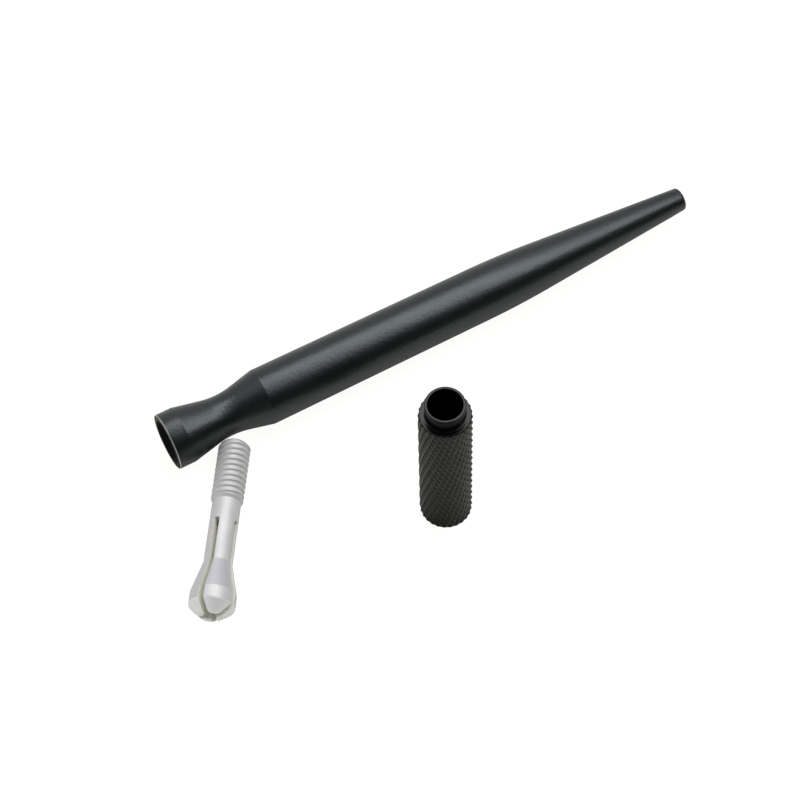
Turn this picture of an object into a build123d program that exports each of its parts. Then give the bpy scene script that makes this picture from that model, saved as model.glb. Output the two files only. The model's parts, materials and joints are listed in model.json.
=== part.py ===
"""Lead holder, taken apart: a tapered barrel lying on its side, a knurled grip sleeve standing
on its front end, and a threaded collet with four spring jaws lying beside the barrel's mouth.

Frame: +X along the barrel from its mouth to its tail, +Z up, origin under the middle of the
layout, on the surface that everything rests on.  Millimetres.
"""
from build123d import *
from math import atan2, cos, radians, sin
import os

# ---- barrel, measured along its axis from the mouth -------------------------------------
BARREL_LENGTH = 112.0
MOUTH_DIAMETER = 11.1
MOUTH_BAND = 3.3                 # short cylinder at the mouth, before the waist
MOUTH_EDGE = 0.25                # bevel on the rim's outer edge
WAIST_POSITION = 12.0
WAIST_SLOPES_MEET = 7.5          # diameter at which the two slopes of the waist would meet
WAIST_ROUNDING = 15.0
BODY_START = 20.0
BODY_DIAMETER = 11.08            # where the body starts, behind the waist
BODY_START_ROUNDING = 1.0
TAPER_POSITION = 73.2
TAPER_DIAMETER = 10.5            # where body and taper would meet if they were straight
TAPER_ROUNDING = 180.0
TAIL_DIAMETER = 4.56
TAIL_ROUNDING = 0.7

# ---- the barrel's socket for the sleeve's neck, and the store for spare leads ---------------
FUNNEL_DIAMETER = 8.9
FUNNEL_DEPTH = 1.3
SOCKET_DEPTH = 4.6
STORE_DIAMETER = 4.2
STORE_DEPTH = 92.0
STORE_POINT_SLOPE = 0.6          # of the drill point at the bottom, depth over radius

# ---- grip sleeve --------------------------------------------------------------------------
SLEEVE_DIAMETER = 9.8            # over the crests of the knurl
SLEEVE_LENGTH = 34.35            # the knurled length, without the neck
SLEEVE_EDGE = 0.35
NECK_DIAMETER = 7.38
NECK_LENGTH = 3.25
NECK_EDGE = 0.2
NECK_CLEARANCE = 0.03            # radial, in the barrel's socket
SLEEVE_BORE = 6.3
SLEEVE_THREAD_BORE = 5.4         # the inner diameter of the thread that takes the collet
SLEEVE_THREAD_START = 12.5       # from the front end
SLEEVE_THREAD_LENGTH = 14.0
SLEEVE_SEAT_DIAMETER = 8.2       # mouth of the cone that squeezes the jaws

# ---- collet, measured along its axis from the threaded end ------------------------------------
COLLET_LENGTH = 36.4
THREAD_DIAMETER = 6.06
THREAD_LENGTH = 12.2
THREAD_PITCH = 1.15
THREAD_DEPTH = 0.36
THREAD_CREST_END = 0.25          # where the crest ends and the root lies, as shares of the pitch
THREAD_ROOT = (0.55, 0.70)
THREAD_END_CHAMFER = 0.8
SHAFT_DIAMETER = 5.36
SLOT_START = 17.1
SLOT_WIDTH = 1.0
SLOT_TURN = 24.0                 # the slots' turn about the axis, away from straight up
CONE_START = 25.7
CONE_END = 32.1
HEAD_DIAMETER = 8.6
NOSE_START = 34.6
NOSE_DIAMETER = 4.4
LEAD_GRIP_DIAMETER = 2.5         # the jaws' bore when they are open
LEAD_GRIP_LENGTH = 8.0
LEAD_GRIP_EDGE = 0.25
COLLET_BORE = 3.2
ROOT_GAP = 0.02                  # between the stem and each jaw, at the root of the slots
JAW_COUNT = 4

# ---- the layout, seen from above, from the centre of the barrel's mouth -----------------------
SLEEVE_PLACE = (40.34, -34.32)
COLLET_END_PLACE = (11.38, -5.28)
COLLET_HEADING = 56.1            # from the barrel's axis to the line head-to-thread

os.makedirs("parts", exist_ok=True)


def turned(outline):
    """A solid of revolution about +Z from (radius, height) points of a closed outline."""
    face = make_face(Polyline(*[(radius, 0, height) for radius, height in outline], close=True))
    return revolve(face, Axis.Z)


def barrel_outside():
    """The barrel's outer skin, standing on its mouth: band, waist, body, taper, round tail."""
    mouth, tail = MOUTH_DIAMETER / 2, TAIL_DIAMETER / 2
    skin = FilletPolyline(
        (mouth, 0, MOUTH_BAND),
        (WAIST_SLOPES_MEET / 2, 0, WAIST_POSITION),
        (BODY_DIAMETER / 2, 0, BODY_START),
        (TAPER_DIAMETER / 2, 0, TAPER_POSITION),
        (tail, 0, BARREL_LENGTH),
        (0, 0, BARREL_LENGTH),
        radius=[WAIST_ROUNDING, BODY_START_ROUNDING, TAPER_ROUNDING, TAIL_ROUNDING],
    )
    rest = Polyline(
        (0, 0, BARREL_LENGTH),
        (0, 0, 0),
        (mouth - MOUTH_EDGE, 0, 0),
        (mouth, 0, MOUTH_EDGE),
        (mouth, 0, MOUTH_BAND),
    )
    return revolve(make_face(skin.edges() + rest.edges()), Axis.Z)


def barrel_inside():
    """Everything bored out of the barrel: funnel, socket for the neck, store with a drill point."""
    socket = NECK_DIAMETER / 2 + NECK_CLEARANCE
    store = STORE_DIAMETER / 2
    return turned([
        (0, 0),
        (FUNNEL_DIAMETER / 2, 0),
        (socket, FUNNEL_DEPTH),
        (socket, SOCKET_DEPTH),
        (store, SOCKET_DEPTH),
        (store, STORE_DEPTH),
        (0, STORE_DEPTH + store * STORE_POINT_SLOPE),
    ])


def barrel():
    """The barrel on its side: its mouth faces -X and its skin rests on the surface."""
    lying = Plane(origin=(0, 0, MOUTH_DIAMETER / 2), x_dir=(0, 1, 0), z_dir=(1, 0, 0))
    return lying.location * (barrel_outside() - barrel_inside())


def grip_sleeve():
    """The sleeve standing on its front end, its neck upward."""
    outer, neck, bore = SLEEVE_DIAMETER / 2, NECK_DIAMETER / 2, SLEEVE_BORE / 2
    seat, thread = SLEEVE_SEAT_DIAMETER / 2, SLEEVE_THREAD_BORE / 2
    cone_slope = (HEAD_DIAMETER - SHAFT_DIAMETER) / 2 / (CONE_END - CONE_START)
    seat_depth = (seat - bore) / cone_slope
    thread_end = SLEEVE_THREAD_START + SLEEVE_THREAD_LENGTH
    top = SLEEVE_LENGTH + NECK_LENGTH
    return turned([
        (seat, 0),
        (outer - SLEEVE_EDGE, 0),
        (outer, SLEEVE_EDGE),
        (outer, SLEEVE_LENGTH - SLEEVE_EDGE),
        (outer - SLEEVE_EDGE, SLEEVE_LENGTH),
        (neck, SLEEVE_LENGTH),
        (neck, top - NECK_EDGE),
        (neck - NECK_EDGE, top),
        (bore, top),
        (bore, thread_end),
        (thread, thread_end),
        (thread, SLEEVE_THREAD_START),
        (bore, SLEEVE_THREAD_START),
        (bore, seat_depth),
    ])


def collet_outline():
    """Half-outline of the whole collet blank, from the threaded end to the nose."""
    crest, shaft = THREAD_DIAMETER / 2, SHAFT_DIAMETER / 2
    root = crest - THREAD_DEPTH
    points = [(crest - THREAD_END_CHAMFER, 0)]
    turn_count = int((THREAD_LENGTH - THREAD_END_CHAMFER) / THREAD_PITCH)
    for turn in range(turn_count):
        start = THREAD_END_CHAMFER + turn * THREAD_PITCH
        points += [
            (crest, start),
            (crest, start + THREAD_CREST_END * THREAD_PITCH),
            (root, start + THREAD_ROOT[0] * THREAD_PITCH),
            (root, start + THREAD_ROOT[1] * THREAD_PITCH),
        ]
    runout = THREAD_END_CHAMFER + turn_count * THREAD_PITCH
    points += [
        (crest, runout),
        (crest, runout + THREAD_CREST_END * THREAD_PITCH),
        (shaft, runout + THREAD_PITCH),
        (shaft, CONE_START),
        (HEAD_DIAMETER / 2, CONE_END),
        (HEAD_DIAMETER / 2, NOSE_START),
        (NOSE_DIAMETER / 2, COLLET_LENGTH),
    ]
    return points


def collet_blank():
    """The collet before it is slotted: thread, shaft and head, bored for the lead."""
    grip, bore = LEAD_GRIP_DIAMETER / 2, COLLET_BORE / 2
    grip_start = COLLET_LENGTH - LEAD_GRIP_LENGTH
    inside = [
        (grip + LEAD_GRIP_EDGE, COLLET_LENGTH),
        (grip, COLLET_LENGTH - LEAD_GRIP_EDGE),
        (grip, grip_start),
        (bore, grip_start - (bore - grip)),
        (bore, 0),
    ]
    return turned(collet_outline() + inside)


def collet_pose():
    """Where the collet lies: on its thread's crest and its wider head, so it tilts a little."""
    rise = (HEAD_DIAMETER - THREAD_DIAMETER) / 2
    tilt = atan2(rise, CONE_END - THREAD_END_CHAMFER)
    heading = radians(COLLET_HEADING + 180)
    along = Vector(cos(heading) * cos(tilt), sin(heading) * cos(tilt), sin(tilt))
    height = THREAD_DIAMETER / 2 * cos(tilt) - THREAD_END_CHAMFER * sin(tilt)
    end = Vector(*COLLET_END_PLACE, height)
    upward = Vector(0, 0, 1) - along * along.Z
    return Plane(origin=end, x_dir=upward, z_dir=along).location * Rot(Z=SLOT_TURN)


def collet_stem():
    """The threaded end and the shaft, as far as the roots of the slots."""
    keep = Pos(Z=SLOT_START / 2) * Box(HEAD_DIAMETER, HEAD_DIAMETER, SLOT_START)
    return collet_blank() & keep


def jaw(number):
    """One of the four springy jaws, cut free of its neighbours by half a slot each side."""
    length = COLLET_LENGTH - SLOT_START - ROOT_GAP
    offset = (HEAD_DIAMETER + SLOT_WIDTH) / 2
    block = Box(HEAD_DIAMETER, HEAD_DIAMETER, length)
    quarter = Pos(offset, offset, COLLET_LENGTH - length / 2) * block
    return collet_blank() & (Rot(Z=number * 360 / JAW_COUNT) * quarter)


def layout():
    """Every node in its place, from the centre of the barrel's mouth."""
    nodes = {"barrel": barrel(), "grip_sleeve": Pos(*SLEEVE_PLACE, 0) * grip_sleeve()}
    pose = collet_pose()
    nodes["collet_stem"] = pose * collet_stem()
    for number in range(JAW_COUNT):
        nodes[f"collet_jaw_{number + 1}"] = pose * jaw(number)
    return nodes


nodes = layout()
whole = Compound(children=[node.solids()[0] for node in nodes.values()]).bounding_box()
to_origin = Pos(-whole.center().X, -whole.center().Y, -whole.min.Z)
for name, solid in nodes.items():
    export_step(to_origin * solid.solids()[0], f"parts/{name}.step")
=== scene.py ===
import json
import math

import bpy
import numpy as np
from mathutils import Matrix, Vector


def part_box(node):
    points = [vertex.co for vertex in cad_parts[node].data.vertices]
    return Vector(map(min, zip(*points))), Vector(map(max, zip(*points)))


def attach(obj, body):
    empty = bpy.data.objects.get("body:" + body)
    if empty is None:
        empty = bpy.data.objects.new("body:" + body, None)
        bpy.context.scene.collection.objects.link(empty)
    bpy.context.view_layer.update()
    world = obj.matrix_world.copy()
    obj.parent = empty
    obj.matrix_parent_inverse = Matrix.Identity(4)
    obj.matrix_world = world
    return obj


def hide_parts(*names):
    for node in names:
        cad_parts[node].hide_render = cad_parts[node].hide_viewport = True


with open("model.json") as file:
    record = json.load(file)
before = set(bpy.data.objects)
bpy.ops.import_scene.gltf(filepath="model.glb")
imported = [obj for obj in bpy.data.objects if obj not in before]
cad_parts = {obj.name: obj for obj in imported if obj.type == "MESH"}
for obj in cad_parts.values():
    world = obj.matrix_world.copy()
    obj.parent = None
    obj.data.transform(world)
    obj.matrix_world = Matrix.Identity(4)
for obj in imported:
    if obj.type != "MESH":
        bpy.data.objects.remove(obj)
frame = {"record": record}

MM = 0.001
TURN = 2 * math.pi
TOUCH = 1e-7                     # two lengths closer than this are the same
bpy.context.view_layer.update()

# ---- where the pieces are, read from the frame ------------------------------------------------
barrel_low, barrel_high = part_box("barrel")
sleeve_low, sleeve_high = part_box("grip_sleeve")
mounts = {mount["name"]: mount for mount in frame["record"]["mounts"]}

BARREL_LENGTH = barrel_high.x - barrel_low.x
MOUTH_RADIUS = (barrel_high.z - barrel_low.z) / 2
BARREL_MIDDLE = (barrel_low.y + barrel_high.y) / 2
MOUTH_CENTRE = Vector((barrel_low.x, BARREL_MIDDLE, barrel_low.z + MOUTH_RADIUS))
SLEEVE_RADIUS = (sleeve_high.x - sleeve_low.x) / 2
SLEEVE_FOOT = Vector(((sleeve_low.x + sleeve_high.x) / 2, (sleeve_low.y + sleeve_high.y) / 2, 0))
COLLET_AXIS = Vector(mounts["lead_grip"]["axis"]).normalized()
LEAD_GRIP_MIDDLE = Vector(mounts["lead_grip"]["pos_m"])

# ---- barrel, along its axis from the mouth ----------------------------------------------------
MOUTH_BAND = 3.3 * MM
WAIST_AT = 12.0 * MM
WAIST_RADIUS = 3.75 * MM         # where the two slopes of the waist would meet
WAIST_ROUNDING = 15.0 * MM
BODY_AT = 20.0 * MM
BODY_RADIUS = 5.54 * MM
BODY_ROUNDING = 0.9 * MM
TAPER_AT = 73.2 * MM
TAPER_RADIUS = 5.25 * MM
TAPER_ROUNDING = 180.0 * MM
TAIL_RADIUS = 2.28 * MM
TAIL_ROUNDING = 0.7 * MM
FUNNEL_RADIUS = 4.45 * MM
FUNNEL_DEPTH = 1.3 * MM
SOCKET_RADIUS = 3.72 * MM
SOCKET_DEPTH = 4.6 * MM
STORE_RADIUS = 2.1 * MM
STORE_DEPTH = 92.0 * MM
WORN_BEVEL = 0.25 * MM           # how far the bare metal reaches along the rim's outer edge
POLE_RADIUS = 0.05 * MM          # of the smallest ring round the axis, at each closed end
BARREL_SIDES, BARREL_STEP = 192, 2 * MM

# ---- grip sleeve, up from its foot ------------------------------------------------------------
SLEEVE_HEIGHT = sleeve_high.z
SHOULDER_AT = 34.35 * MM
SLEEVE_EDGE = 0.35 * MM
NECK_RADIUS = 3.69 * MM
SLEEVE_BORE = 3.15 * MM
THREAD_BORE = 2.7 * MM
THREAD_ZONE = (12.5 * MM, 26.5 * MM)
SEAT_RADIUS = 4.1 * MM
SEAT_DEPTH = 3.75 * MM
KNURL_STARTS = 25
KNURL_PITCHES = (2.15 * MM, -4.30 * MM)      # along the axis; the sign is the hand
KNURL_DEPTH = 0.26 * MM
KNURL_STEEPNESS = 1.15           # above 1, the grooves leave a narrow flat on the diamonds' tops
SLEEVE_SIDES = 10 * KNURL_STARTS
KNURL_STEP, CHAMFER_STEP, SMOOTH_STEP = 0.115 * MM, 0.12 * MM, 0.3 * MM

# ---- collet, along its axis from the threaded end ---------------------------------------------
COLLET_LENGTH = 36.4 * MM
LEAD_GRIP_AT = 32.275 * MM
THREAD_RADIUS = 3.03 * MM
THREAD_LENGTH = 12.2 * MM
THREAD_PITCH = 1.15 * MM
THREAD_DEPTH = 0.36 * MM
THREAD_CHAMFER = 0.8 * MM
THREAD_CREST = 0.25              # share of the pitch that stays a flat crest
THREAD_FLANKS = 0.5              # share of the pitch that the two flanks take
THREAD_RUNOUT = 0.25             # share of a pitch in which the groove fades out
THREAD_SHOULDER = 0.6 * MM
SHAFT_RADIUS = 2.68 * MM
SLOT_AT = 17.1 * MM
SLOT_HALF = 0.5 * MM
SLOT_TURN = math.radians(24)
CONE_START = 25.7 * MM
CONE_END = 32.1 * MM
HEAD_RADIUS = 4.3 * MM
NOSE_AT = 34.6 * MM
NOSE_RADIUS = 2.2 * MM
GRIP_RADIUS = 1.25 * MM
GRIP_LENGTH = 8.0 * MM
COLLET_BORE = 1.6 * MM
STEM_SIDES, STEM_STEP = 144, THREAD_PITCH / 18
JAW_COUNT = 4
JAW_EDGE = 0.05 * MM
JAW_STEP = 0.8 * MM
JAW_BEVEL_STEPS, JAW_SIDE_STEPS = 3, 26

# ---- camera and light -------------------------------------------------------------------------
VIEW_AZIMUTH = math.radians(-26.9)
VIEW_ELEVATION = math.radians(60.0)
VIEW_ROLL = math.radians(1.96)
VIEW_DISTANCE = 0.5387
VIEW_AIM = Vector((MOUTH_CENTRE.x + 43.72 * MM, MOUTH_CENTRE.y - 10.31 * MM, 0))
LENS = 127.6
SENSOR = 36.0
CLIP_NEAR, CLIP_FAR = 0.01, 10
FLOOR_HALF_SIDE = 3.0
OVERHEAD_DIRECTION = (0.31, 0.14, 0.94)
OVERHEAD_DISTANCE = 0.55
OVERHEAD_SIZE = (0.205, 0.75)
OVERHEAD_RADIANCE = 4.1
ROOM_LIGHT, DIM_LIGHT = 0.72, 0.06
DIM_PATCHES = (                  # unit direction, cosines of the patch's rim and core
    ((0.25, -0.88, 0.40), 0.55, 0.93),
    ((-0.38, -0.45, 0.81), 0.84, 0.95),
)


# ---- outlines: lists of (radius, along) -------------------------------------------------------
def rounded(corners, steps):
    """An outline through (radius, along, rounding) corners, with each rounded corner as an arc."""
    points = [Vector(corner[:2]) for corner in corners]
    outline = []
    for index, corner in enumerate(corners):
        here, rounding = points[index], corner[2]
        if rounding == 0:
            outline.append(tuple(here))
            continue
        to_last = (points[index - 1] - here).normalized()
        to_next = (points[(index + 1) % len(points)] - here).normalized()
        half = to_last.angle(to_next) / 2
        reach = rounding / math.tan(half)
        centre = here + (to_last + to_next).normalized() * (rounding / math.sin(half))
        first, last = here + to_last * reach - centre, here + to_next * reach - centre
        sweep = first.angle_signed(last)
        for step in range(steps + 1):
            swung = first.copy()
            swung.rotate(Matrix.Rotation(-sweep * step / steps, 2))
            outline.append(tuple(centre + swung))
    return outline


def divided(outline, longest, closed=False):
    """The same outline with every stretch cut into lengths no longer than longest."""
    result = []
    last = len(outline) if closed else len(outline) - 1
    for index in range(last):
        start = np.array(outline[index])
        end = np.array(outline[(index + 1) % len(outline)])
        count = max(1, math.ceil(np.linalg.norm(end - start) / longest))
        result += [tuple(start + (end - start) * part / count) for part in range(count)]
    if not closed:
        result.append(outline[-1])
    return result


# ---- meshes -----------------------------------------------------------------------------------
def placement(origin, direction, upward):
    """The matrix that puts a piece turned about +Z at origin, along direction."""
    along = direction.normalized()
    first = (upward - along * upward.dot(along)).normalized()
    second = along.cross(first)
    matrix = Matrix((first, second, along)).transposed().to_4x4()
    matrix.translation = origin
    return matrix


def make_piece(name, points, faces, place, body, node):
    """A smooth mesh in the row's frame that keeps its own turned coordinates as an attribute."""
    mesh = bpy.data.meshes.new(name)
    points = np.asarray(points, float)
    matrix = np.array(place)
    placed = points @ matrix[:3, :3].T + matrix[:3, 3]
    mesh.from_pydata(placed.tolist(), [], faces)
    turned = mesh.attributes.new("turned", "FLOAT_VECTOR", "POINT")
    turned.data.foreach_set("vector", points.astype(np.float32).ravel())
    mesh.polygons.foreach_set("use_smooth", [True] * len(mesh.polygons))
    mesh.validate()
    piece = bpy.data.objects.new(name, mesh)
    bpy.context.scene.collection.objects.link(piece)
    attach(piece, body)
    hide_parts(node)
    return piece


def radius_and_along(piece):
    """Each vertex's distance from the piece's own axis, and its place along that axis."""
    turned = np.zeros(len(piece.data.vertices) * 3, np.float32)
    piece.data.attributes["turned"].data.foreach_get("vector", turned)
    turned = turned.reshape(-1, 3).astype(float)
    return np.hypot(turned[:, 0], turned[:, 1]), turned[:, 2]


def keep_sharp(piece, degrees):
    """Edges sharper than this stay crisp."""
    piece.data.set_sharp_from_angle(angle=math.radians(degrees))


def even_normals(piece):
    """Flat and long faces set the shading, and sharp edges stay crisp."""
    keep_sharp(piece, 50)
    modifier = piece.modifiers.new("even_normals", "WEIGHTED_NORMAL")
    modifier.keep_sharp = True
    modifier.weight = 100


def revolve(outline, segments, closed, relief=None):
    """Points and faces of an outline turned about +Z; an open outline's ends meet the axis."""
    count = len(outline)
    radius, height = np.array(outline).T
    turns = np.arange(segments) * TURN / segments
    radii, angle = np.meshgrid(radius, turns, indexing="ij")
    along = np.repeat(height[:, None], segments, axis=1)
    if relief:
        radii = relief(radii, along, angle)
    rings = np.stack([radii * np.cos(angle), radii * np.sin(angle), along], -1)
    points = rings.reshape(-1, 3)
    faces = []
    for ring in range(count if closed else count - 1):
        here, there = ring * segments, (ring + 1) % count * segments
        for side in range(segments):
            after = (side + 1) % segments
            faces.append((here + side, here + after, there + after, there + side))
    if not closed:
        first_pole, last_pole = len(points), len(points) + 1
        points = np.vstack([points, (0, 0, height[0]), (0, 0, height[-1])])
        last_ring = (count - 1) * segments
        for side in range(segments):
            after = (side + 1) % segments
            faces.append((first_pole, after, side))
            faces.append((last_pole, last_ring + side, last_ring + after))
    return points, faces


# ---- barrel -----------------------------------------------------------------------------------
def barrel_outline():
    """From the bottom of the lead store, out of the mouth and over the skin to the tail."""
    return rounded([
        (POLE_RADIUS, STORE_DEPTH, 0),
        (STORE_RADIUS, STORE_DEPTH, 0),
        (STORE_RADIUS, SOCKET_DEPTH, 0.1 * MM),
        (SOCKET_RADIUS, SOCKET_DEPTH, 0.1 * MM),
        (SOCKET_RADIUS, FUNNEL_DEPTH, 0.3 * MM),
        (FUNNEL_RADIUS, 0, 0.12 * MM),
        (MOUTH_RADIUS, 0, 0.22 * MM),
        (MOUTH_RADIUS, MOUTH_BAND, 0.25 * MM),
        (WAIST_RADIUS, WAIST_AT, WAIST_ROUNDING),
        (BODY_RADIUS, BODY_AT, BODY_ROUNDING),
        (TAPER_RADIUS, TAPER_AT, TAPER_ROUNDING),
        (TAIL_RADIUS, BARREL_LENGTH, TAIL_ROUNDING),
        (POLE_RADIUS, BARREL_LENGTH, 0),
    ], steps=12)


def make_barrel():
    """The barrel on its side, with the store, socket and funnel inside it."""
    place = placement(MOUTH_CENTRE, Vector((1, 0, 0)), Vector((0, 0, 1)))
    outline = divided(barrel_outline(), BARREL_STEP)
    points, faces = revolve(outline, BARREL_SIDES, closed=False)
    piece = make_piece("barrel_shell", points, faces, place, "barrel", "barrel")
    even_normals(piece)
    return piece


# ---- grip sleeve ------------------------------------------------------------------------------
def knurl(radii, along, angle):
    """Two sets of V grooves cross on the outside and leave diamonds."""
    height = np.ones_like(radii)
    for pitch in KNURL_PITCHES:
        phase = KNURL_STARTS * angle / TURN + along / pitch
        from_groove = 2 * np.abs(phase - np.round(phase))
        height = np.minimum(height, np.minimum(1, from_groove * KNURL_STEEPNESS))
    cut = SLEEVE_RADIUS - KNURL_DEPTH * (1 - height)
    between_ends = (along > 0) & (along < SHOULDER_AT + 0.01 * MM)
    outside = (radii > NECK_RADIUS + 0.3 * MM) & between_ends
    return np.where(outside, np.minimum(radii, cut), radii)


def sleeve_outline():
    """The skin from the foot up, over the neck and down through the bore."""
    return rounded([
        (SEAT_RADIUS, 0, 0.05 * MM),
        (SLEEVE_RADIUS - SLEEVE_EDGE, 0, 0.08 * MM),
        (SLEEVE_RADIUS, SLEEVE_EDGE, 0),
        (SLEEVE_RADIUS, SHOULDER_AT - SLEEVE_EDGE, 0),
        (SLEEVE_RADIUS - SLEEVE_EDGE, SHOULDER_AT, 0.06 * MM),
        (NECK_RADIUS, SHOULDER_AT, 0.1 * MM),
        (NECK_RADIUS, SLEEVE_HEIGHT, 0.16 * MM),
        (SLEEVE_BORE, SLEEVE_HEIGHT, 0.12 * MM),
        (SLEEVE_BORE, THREAD_ZONE[1], 0.05 * MM),
        (THREAD_BORE, THREAD_ZONE[1], 0.05 * MM),
        (THREAD_BORE, THREAD_ZONE[0], 0.05 * MM),
        (SLEEVE_BORE, THREAD_ZONE[0], 0.05 * MM),
        (SLEEVE_BORE, SEAT_DEPTH, 0.3 * MM),
    ], steps=4)


def mark_crests(piece):
    """An attribute from 0 in the knurl's grooves to 1 on the diamonds' tops, for the painted shade
    in its material.
    """
    radius, _ = radius_and_along(piece)
    crest = np.clip((radius - SLEEVE_RADIUS + KNURL_DEPTH) / KNURL_DEPTH, 0, 1) ** 2
    attribute = piece.data.attributes.new("crest", "FLOAT", "POINT")
    attribute.data.foreach_set("value", crest.astype(np.float32))


def make_sleeve():
    """The sleeve on its foot, with its finest rings where the knurl is."""
    outline = sleeve_outline()
    on_skin = [index for index, (radius, _) in enumerate(outline) if radius > SLEEVE_RADIUS - TOUCH]
    skin_start, skin_end = on_skin[0], on_skin[0] + 1
    foot = divided(outline[:skin_start + 1], CHAMFER_STEP)
    skin = divided(outline[skin_start:skin_end + 1], KNURL_STEP)
    chamfer = divided(outline[skin_end:skin_end + 2], CHAMFER_STEP)
    neck_and_bore = divided(outline[skin_end + 1:], SMOOTH_STEP)
    rings = foot + skin[1:-1] + chamfer[:-1] + neck_and_bore
    points, faces = revolve(rings, SLEEVE_SIDES, closed=True, relief=knurl)
    place = placement(SLEEVE_FOOT, Vector((0, 0, 1)), Vector((1, 0, 0)))
    name, node = "knurled_sleeve", "grip_sleeve"
    piece = make_piece(name, points, faces, place, node, node)
    mark_crests(piece)
    return piece


# ---- collet -----------------------------------------------------------------------------------
def collet_place():
    """Where the collet lies, from the place and direction of its lead grip in the frame."""
    end = LEAD_GRIP_MIDDLE - COLLET_AXIS * LEAD_GRIP_AT
    lying = placement(end, COLLET_AXIS, Vector((0, 0, 1)))
    return lying @ Matrix.Rotation(SLOT_TURN, 4, "Z")


def thread(radii, along, angle):
    """One helical groove with a flat crest and root, cut into the rear of the stem."""
    phase = along / THREAD_PITCH - angle / TURN
    from_crest = 2 * np.abs(phase - np.round(phase))
    groove = np.clip((from_crest - THREAD_CREST) / THREAD_FLANKS, 0, 1)
    runout = np.clip((THREAD_LENGTH - along) / (THREAD_RUNOUT * THREAD_PITCH), 0, 1)
    cut = THREAD_RADIUS - THREAD_DEPTH * groove * runout
    outside = radii > COLLET_BORE + 0.2 * MM
    return np.where(outside & (along < THREAD_LENGTH), np.minimum(radii, cut), radii)


def stem_outline():
    """Over the thread and the shaft to the slots' root, and back by the bore."""
    return rounded([
        (COLLET_BORE, 0, 0.15 * MM),
        (THREAD_RADIUS - THREAD_CHAMFER, 0, 0.2 * MM),
        (THREAD_RADIUS, THREAD_CHAMFER, 0.3 * MM),
        (THREAD_RADIUS, THREAD_LENGTH, 0.1 * MM),
        (SHAFT_RADIUS, THREAD_LENGTH + THREAD_SHOULDER, 0.2 * MM),
        (SHAFT_RADIUS, SLOT_AT, 0),
        (COLLET_BORE, SLOT_AT, 0),
    ], steps=5)


def make_stem():
    """The collet's threaded end and shaft, as far as the slots' root."""
    outline = divided(stem_outline(), STEM_STEP, closed=True)
    points, faces = revolve(outline, STEM_SIDES, closed=True, relief=thread)
    name, node = "collet_stem_turned", "collet_stem"
    piece = make_piece(name, points, faces, collet_place(), node, node)
    keep_sharp(piece, 60)
    return piece


def jaw_outline():
    """One side of the split head and shaft, from the slots' root to the nose and back."""
    grip_start = COLLET_LENGTH - GRIP_LENGTH
    return rounded([
        (COLLET_BORE, SLOT_AT, 0),
        (SHAFT_RADIUS, SLOT_AT, 0),
        (SHAFT_RADIUS, CONE_START, 1.2 * MM),
        (HEAD_RADIUS, CONE_END, 0.35 * MM),
        (HEAD_RADIUS, NOSE_AT, 0.45 * MM),
        (NOSE_RADIUS, COLLET_LENGTH, 0.3 * MM),
        (GRIP_RADIUS, COLLET_LENGTH, 0.15 * MM),
        (GRIP_RADIUS, grip_start, 0.2 * MM),
        (COLLET_BORE, grip_start - (COLLET_BORE - GRIP_RADIUS), 0.2 * MM),
    ], steps=6)


def inset(outline, depth):
    """The outline moved inward by depth, but not away from the root of the slots."""
    loop = np.array(outline)
    ahead = np.roll(loop, -1, 0) - loop
    behind = loop - np.roll(loop, 1, 0)
    ahead /= np.linalg.norm(ahead, axis=1)[:, None]
    behind /= np.linalg.norm(behind, axis=1)[:, None]
    normals = np.stack([-(ahead + behind)[:, 1], (ahead + behind)[:, 0]], 1)
    normals /= np.linalg.norm(normals, axis=1)[:, None]
    moved = loop + normals * depth
    moved[loop[:, 1] <= SLOT_AT + TOUCH, 1] = SLOT_AT
    return moved


def jaw_loops(outline):
    """(loop, angles) across a jaw: a bevel at one cut, an even sweep, a bevel at the other."""
    quarter = TURN / JAW_COUNT
    bevel = []
    for step in range(JAW_BEVEL_STEPS + 1):
        share = step / JAW_BEVEL_STEPS * math.pi / 2
        loop = inset(outline, JAW_EDGE * (1 - math.sin(share)))
        offset = SLOT_HALF + JAW_EDGE * (1 - math.cos(share))
        bevel.append((loop, np.arcsin(offset / loop[:, 0])))
    widest, start = bevel[-1]
    shares = [step / JAW_SIDE_STEPS for step in range(1, JAW_SIDE_STEPS)]
    sweep = [(widest, start + (quarter - 2 * start) * share) for share in shares]
    return bevel + sweep + [(loop, quarter - angles) for loop, angles in reversed(bevel)]


def make_jaw(number):
    """A quarter of the split collet; its last two faces are the flat sides beside the slots."""
    outline = divided(jaw_outline(), JAW_STEP, closed=True)
    turn = number * TURN / JAW_COUNT
    rings = []
    for loop, angles in jaw_loops(outline):
        radius, along = loop.T
        across, upward = np.cos(angles + turn), np.sin(angles + turn)
        rings.append(np.stack([radius * across, radius * upward, along], 1))
    count = len(outline)
    last = (len(rings) - 1) * count
    faces = []
    for here in range(0, last, count):
        there = here + count
        for point in range(count):
            after = (point + 1) % count
            faces.append((here + after, here + point, there + point, there + after))
    faces.append(tuple(range(count)))
    faces.append(tuple(last + point for point in reversed(range(count))))
    name, node = f"jaw_{number + 1}", f"collet_jaw_{number + 1}"
    piece = make_piece(name, np.vstack(rings), faces, collet_place(), node, node)
    keep_sharp(piece, 40)
    return piece


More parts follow.
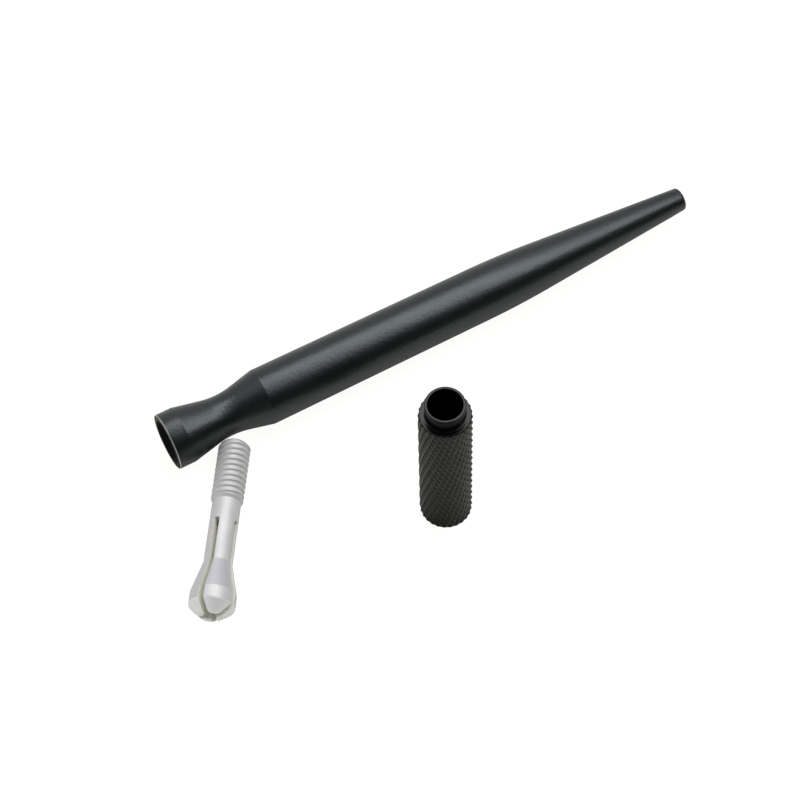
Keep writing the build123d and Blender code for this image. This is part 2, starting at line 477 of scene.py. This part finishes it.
# ---- materials --------------------------------------------------------------------------------
class Nodes:
    """A material's nodes, added and joined by short calls."""

    def __init__(self, name):
        self.material = bpy.data.materials.new(name)
        self.material.use_nodes = True
        self.tree = self.material.node_tree
        self.shader = self.tree.nodes["Principled BSDF"]

    def add(self, kind, **settings):
        node = self.tree.nodes.new(kind)
        for key, value in settings.items():
            setattr(node, key, value)
        return node

    def join(self, output, socket):
        self.tree.links.new(output, socket)

    def fix(self, socket, value):
        """Sets a constant on the shader's own socket."""
        self.shader.inputs[socket].default_value = value

    def place(self, stretch):
        """The piece's own turned coordinates, stretched along each axis."""
        attribute = self.add("ShaderNodeAttribute", attribute_name="turned")
        mapping = self.add("ShaderNodeMapping")
        mapping.inputs["Scale"].default_value = stretch
        self.join(attribute.outputs["Vector"], mapping.inputs["Vector"])
        return mapping.outputs["Vector"]

    def noise(self, stretch, detail=3.0, roughness=0.6):
        node = self.add("ShaderNodeTexNoise")
        node.inputs["Scale"].default_value = 1.0
        node.inputs["Detail"].default_value = detail
        node.inputs["Roughness"].default_value = roughness
        self.join(self.place(stretch), node.inputs["Vector"])
        return node.outputs["Fac"]

    def spread(self, noise, low, high, source=(0.3, 0.7)):
        """The range that noise mostly stays in, spread over low to high."""
        node = self.add("ShaderNodeMapRange")
        node.inputs["From Min"].default_value, node.inputs["From Max"].default_value = source
        node.inputs["To Min"].default_value, node.inputs["To Max"].default_value = low, high
        self.join(noise, node.inputs["Value"])
        return node.outputs["Result"]

    def colour(self, share, dark, light):
        """The surface's colour, from dark at a share of 0 to light at 1."""
        node = self.add("ShaderNodeMix", data_type="RGBA")
        node.inputs["A"].default_value = (*dark, 1)
        node.inputs["B"].default_value = (*light, 1)
        self.join(share, node.inputs["Factor"])
        self.join(node.outputs["Result"], self.shader.inputs["Base Color"])

    def mottle(self, noise, dark, light):
        """The surface's colour, from dark to light as the noise rises."""
        self.colour(self.spread(noise, 0, 1), dark, light)

    def roughen(self, noise, low, high):
        self.join(self.spread(noise, low, high), self.shader.inputs["Roughness"])

    def bump(self, *layers):
        """Relief from (noise, height) layers, each on top of the one before."""
        below = None
        for noise, height in layers:
            node = self.add("ShaderNodeBump")
            node.inputs["Distance"].default_value = height
            self.join(noise, node.inputs["Height"])
            if below:
                self.join(below, node.inputs["Normal"])
            below = node.outputs["Normal"]
        self.join(below, self.shader.inputs["Normal"])


def black_anodise():
    """Satin black anodised aluminium, with fine turning lines round the axis and soft grain."""
    m = Nodes("black_anodise")
    grain = m.noise((1800, 1800, 1800), detail=1, roughness=0.5)
    cloud = m.noise((220, 220, 120))
    lines = m.noise((300, 300, 14000), detail=2)
    m.mottle(cloud, (0.0006, 0.0012, 0.0014), (0.0012, 0.0020, 0.0022))
    m.roughen(cloud, 0.32, 0.37)
    m.bump((grain, 0.033 * MM), (lines, 0.002 * MM))
    m.fix("IOR", 1.6)
    m.fix("Specular Tint", (0.88, 0.97, 1.0, 1))
    return m.material


def painted_shade_bore_black():
    """The inside of the barrel and the sleeve, with painted shade: a brownish black that reflects
    almost nothing.
    """
    m = Nodes("painted_shade_bore_black")
    lines = m.noise((300, 300, 6000), detail=2)
    # painted shade: a brownish near-black; below, the reflection turned almost off
    m.mottle(lines, (0.002, 0.0015, 0.0014), (0.004, 0.003, 0.0026))
    m.roughen(lines, 0.35, 0.5)
    m.bump((lines, 0.006 * MM))
    m.fix("Specular IOR Level", 0.08)
    return m.material


def worn_edge():
    """Bare aluminium that shows where an edge has lost its black."""
    m = Nodes("worn_edge")
    wear = m.noise((1500, 1500, 1500))
    m.mottle(wear, (0.30, 0.31, 0.32), (0.62, 0.63, 0.64))
    m.roughen(wear, 0.3, 0.45)
    m.fix("Metallic", 1.0)
    return m.material


def painted_shade_knurl_black():
    """Black anodise on the knurl, with painted shade: its colour is darkest in the grooves and
    lighter on the diamonds' tops.
    """
    m = Nodes("painted_shade_knurl_black")
    grain = m.noise((12000, 12000, 12000), detail=3)
    cloud = m.noise((400, 400, 300))
    groove_shade = m.add("ShaderNodeAttribute", attribute_name="crest")
    # painted shade: near-black down in the knurl's grooves, lighter on the diamonds' tops
    m.colour(groove_shade.outputs["Fac"], (0.0008, 0.0009, 0.0007), (0.0085, 0.0090, 0.0078))
    m.roughen(cloud, 0.34, 0.44)
    m.bump((grain, 0.006 * MM))
    m.fix("Specular IOR Level", 0.2)
    m.fix("Specular Tint", (0.97, 1.0, 0.93, 1))
    return m.material


def painted_shade_neck_black():
    """The neck's smooth, fine-turned black, with painted shade: a faint blue near-black that
    reflects almost nothing, so the neck stays dark.
    """
    m = Nodes("painted_shade_neck_black")
    lines = m.noise((200, 200, 9000), detail=2)
    # painted shade: a faint blue near-black, and below it the reflection turned almost off
    m.mottle(lines, (0.0012, 0.0018, 0.0026), (0.0018, 0.0026, 0.0036))
    m.roughen(lines, 0.18, 0.24)
    m.bump((lines, 0.001 * MM))
    m.fix("Specular IOR Level", 0.03)
    return m.material


def rim_black():
    """Smooth black on the flat rings that face up: the neck's rim and the shoulder round it."""
    m = Nodes("rim_black")
    cloud = m.noise((900, 900, 900))
    m.mottle(cloud, (0.0012, 0.0014, 0.0016), (0.0024, 0.0026, 0.0028))
    m.roughen(cloud, 0.18, 0.24)
    m.fix("Specular IOR Level", 0.25)
    return m.material


def bright_aluminium():
    """The collet's bright turned aluminium, with fine tool lines round its axis."""
    m = Nodes("bright_aluminium")
    cloud = m.noise((500, 500, 300))
    lines = m.noise((200, 200, 16000), detail=2)
    m.mottle(cloud, (0.60, 0.595, 0.605), (0.66, 0.655, 0.66))
    m.roughen(lines, 0.50, 0.58)
    m.bump((lines, 0.0006 * MM))
    m.fix("Metallic", 0.45)
    return m.material


def painted_reflection_cone_aluminium():
    """The cone behind the head, with a painted reflection: a cooler, slightly darker band."""
    m = Nodes("painted_reflection_cone_aluminium")
    lines = m.noise((200, 200, 9000), detail=2)
    # painted reflection: a cooler, darker grey than the shaft's
    m.mottle(lines, (0.55, 0.55, 0.59), (0.61, 0.61, 0.645))
    m.roughen(lines, 0.36, 0.42)
    m.bump((lines, 0.0006 * MM))
    m.fix("Metallic", 0.6)
    return m.material


def painted_light_nose_aluminium():
    """The nose, with painted light: a much paler aluminium than the shaft's, so the nose looks
    brightly lit.
    """
    m = Nodes("painted_light_nose_aluminium")
    lines = m.noise((200, 200, 9000), detail=2)
    # painted light: far paler than the shaft's aluminium
    m.mottle(lines, (0.94, 0.94, 0.96), (0.98, 0.98, 0.99))
    m.roughen(lines, 0.44, 0.52)
    m.bump((lines, 0.0006 * MM))
    m.fix("Metallic", 0.35)
    return m.material


def painted_shade_cut_aluminium():
    """The slots' sides and the jaws' bore: duller, with cutting marks and a painted warm grey cast
    that stands in for the olive shade in the slots.
    """
    m = Nodes("painted_shade_cut_aluminium")
    marks = m.noise((6000, 6000, 500), detail=2)
    # painted shade: a warm grey cast, the olive of the shaded slots
    m.mottle(marks, (0.74, 0.74, 0.67), (0.84, 0.84, 0.77))
    m.bump((marks, 0.004 * MM))
    m.fix("Metallic", 0.2)
    m.fix("Roughness", 0.6)
    return m.material


# ---- which material goes where: a finish takes a face's mean (radius, along) ------------------
BARREL_SKIN, BARREL_BORE, BARREL_WORN = range(3)
SLEEVE_KNURL, SLEEVE_INSIDE, SLEEVE_NECK, SLEEVE_RIM = range(4)
JAW_BRIGHT, JAW_PAINTED_LIGHT_NOSE, JAW_PAINTED_SHADE_CUT, JAW_PAINTED_REFLECTION_CONE = range(4)


def barrel_finish(radius, along):
    """Black skin, painted-shade black on the bore and front face, bare metal on the rim's outer
    edge.
    """
    in_socket = along < SOCKET_DEPTH and radius < FUNNEL_RADIUS - 0.05 * MM
    in_store = along < STORE_DEPTH and radius < STORE_RADIUS + 0.01 * MM
    in_funnel = along < FUNNEL_DEPTH and radius < FUNNEL_RADIUS
    on_front = along < 0.03 * MM
    # the bore and the mouth's front face take the painted-shade black
    if in_socket or in_store or in_funnel or on_front:
        return BARREL_BORE
    on_bevel = along < WORN_BEVEL and radius < MOUTH_RADIUS - 0.002 * MM
    return BARREL_WORN if on_bevel else BARREL_SKIN


def sleeve_finish(radius, along):
    """Knurled skin, smooth neck with painted shade, flat rings that face up, painted-shade black in
    the bore and seat.
    """
    in_bore = radius < SLEEVE_BORE + 0.02 * MM
    in_seat = along < SEAT_DEPTH and radius < SEAT_RADIUS - 0.02 * MM
    if in_bore or in_seat:
        return SLEEVE_INSIDE
    on_rim = along > SLEEVE_HEIGHT - 0.1 * MM
    at_shoulder = abs(along - SHOULDER_AT) < 0.03 * MM
    on_shoulder = at_shoulder and radius < SLEEVE_RADIUS - SLEEVE_EDGE
    if on_rim or on_shoulder:
        return SLEEVE_RIM
    return SLEEVE_NECK if along > SHOULDER_AT else SLEEVE_KNURL


def jaw_finish(radius, along):
    """Bright shaft and head, cone with a painted reflection tint, nose with painted light, bore
    with a painted shade tint.
    """
    if radius < COLLET_BORE + 0.1 * MM and along < COLLET_LENGTH - 0.2 * MM:
        return JAW_PAINTED_SHADE_CUT
    if along > NOSE_AT - 0.1 * MM:
        return JAW_PAINTED_LIGHT_NOSE
    return JAW_PAINTED_REFLECTION_CONE if CONE_START + 0.1 * MM < along < CONE_END else JAW_BRIGHT


def paint(piece, materials, finish):
    """Gives the piece these materials, and each face the one whose number finish returns."""
    for material in materials:
        piece.data.materials.append(material)
    radius, along = radius_and_along(piece)
    for face in piece.data.polygons:
        corners = list(face.vertices)
        face.material_index = finish(radius[corners].mean(), along[corners].mean())


# ---- stage ------------------------------------------------------------------------------------
def make_floor():
    """A wide pale floor: almost white to the camera, plain paper to every other ray."""
    mesh = bpy.data.meshes.new("floor")
    signs = ((-1, -1), (1, -1), (1, 1), (-1, 1))
    corners = [(x * FLOOR_HALF_SIDE, y * FLOOR_HALF_SIDE, 0) for x, y in signs]
    mesh.from_pydata(corners, [], [(0, 1, 2, 3)])
    floor = bpy.data.objects.new("floor", mesh)
    bpy.context.scene.collection.objects.link(floor)
    m = Nodes("pale_floor")
    m.fix("Base Color", (0.10, 0.10, 0.10, 1))
    m.fix("Roughness", 0.9)
    m.fix("Specular IOR Level", 0.0)
    m.fix("Emission Color", (1, 1, 0.99, 1))
    m.fix("Emission Strength", 0.96)
    paper = m.add("ShaderNodeBsdfDiffuse")
    paper.inputs["Color"].default_value = (0.82, 0.82, 0.77, 1)
    path = m.add("ShaderNodeLightPath")
    either = m.add("ShaderNodeMixShader")
    m.join(path.outputs["Is Camera Ray"], either.inputs["Fac"])
    m.join(paper.outputs["BSDF"], either.inputs[1])
    m.join(m.shader.outputs["BSDF"], either.inputs[2])
    m.join(either.outputs["Shader"], m.tree.nodes["Material Output"].inputs["Surface"])
    mesh.materials.append(m.material)


def make_overhead_light():
    """A long soft panel overhead that faces the object; its radiance is how bright it looks."""
    width, depth = OVERHEAD_SIZE
    data = bpy.data.lights.new("overhead", "AREA")
    data.shape = "RECTANGLE"
    data.size, data.size_y = width, depth
    data.energy = OVERHEAD_RADIANCE * math.pi * width * depth
    lamp = bpy.data.objects.new("overhead", data)
    direction = Vector(OVERHEAD_DIRECTION).normalized()
    lamp.location = direction * OVERHEAD_DISTANCE
    lamp.rotation_mode = "QUATERNION"
    lamp.rotation_quaternion = direction.to_track_quat("Z", "X")
    bpy.context.scene.collection.objects.link(lamp)


def make_world():
    """White to the camera; to every other ray a lit room with two soft dim patches."""
    world = bpy.data.worlds.new("studio")
    bpy.context.scene.world = world
    world.use_nodes = True
    tree = world.node_tree
    background = tree.nodes["Background"]
    background.inputs["Color"].default_value = (1, 1, 1, 1)
    place = tree.nodes.new("ShaderNodeTexCoord")
    darker = tree.nodes.new("ShaderNodeMath")
    darker.operation = "MAXIMUM"
    for index, (direction, rim, core) in enumerate(DIM_PATCHES):
        towards = tree.nodes.new("ShaderNodeVectorMath")
        towards.operation = "DOT_PRODUCT"
        towards.inputs[1].default_value = direction
        tree.links.new(place.outputs["Generated"], towards.inputs[0])
        patch = tree.nodes.new("ShaderNodeMapRange")
        patch.interpolation_type = "SMOOTHSTEP"
        patch.inputs["From Min"].default_value = rim
        patch.inputs["From Max"].default_value = core
        tree.links.new(towards.outputs["Value"], patch.inputs["Value"])
        tree.links.new(patch.outputs["Result"], darker.inputs[index])
    dimmed = tree.nodes.new("ShaderNodeMapRange")
    dimmed.inputs["To Min"].default_value = ROOM_LIGHT
    dimmed.inputs["To Max"].default_value = DIM_LIGHT
    tree.links.new(darker.outputs["Value"], dimmed.inputs["Value"])
    path = tree.nodes.new("ShaderNodeLightPath")
    choice = tree.nodes.new("ShaderNodeMix")
    choice.inputs["B"].default_value = 1.0
    tree.links.new(path.outputs["Is Camera Ray"], choice.inputs["Factor"])
    tree.links.new(dimmed.outputs["Result"], choice.inputs["A"])
    tree.links.new(choice.outputs["Result"], background.inputs["Strength"])


def make_camera():
    """The camera, on the mouth's side and well above, rolled a little."""
    data = bpy.data.cameras.new("camera")
    data.lens, data.sensor_width = LENS, SENSOR
    data.clip_start, data.clip_end = CLIP_NEAR, CLIP_FAR
    camera = bpy.data.objects.new("camera", data)
    back = Vector((
        math.sin(VIEW_AZIMUTH) * math.cos(VIEW_ELEVATION),
        -math.cos(VIEW_AZIMUTH) * math.cos(VIEW_ELEVATION),
        math.sin(VIEW_ELEVATION),
    ))
    place = Matrix.Translation(VIEW_AIM + back * VIEW_DISTANCE)
    facing = (-back).to_track_quat("-Z", "Y").to_matrix().to_4x4()
    camera.matrix_world = place @ facing @ Matrix.Rotation(-VIEW_ROLL, 4, "Z")
    bpy.context.scene.collection.objects.link(camera)
    bpy.context.scene.camera = camera


# ---- the whole scene --------------------------------------------------------------------------
make_camera()
make_floor()
make_world()
make_overhead_light()

bore, aluminium = painted_shade_bore_black(), bright_aluminium()
paint(make_barrel(), [black_anodise(), bore, worn_edge()], barrel_finish)
paint(make_sleeve(), [painted_shade_knurl_black(), bore, painted_shade_neck_black(), rim_black()], sleeve_finish)

make_stem().data.materials.append(aluminium)
jaw_materials = [aluminium, painted_light_nose_aluminium(), painted_shade_cut_aluminium(), painted_reflection_cone_aluminium()]
for number in range(JAW_COUNT):
    jaw = make_jaw(number)
    paint(jaw, jaw_materials, jaw_finish)
    # the flat sides beside the slots take the painted shade tint
    for flat_side in jaw.data.polygons[-2:]:
        flat_side.material_index = JAW_PAINTED_SHADE_CUT

bpy.context.scene.view_settings.view_transform = "Standard"
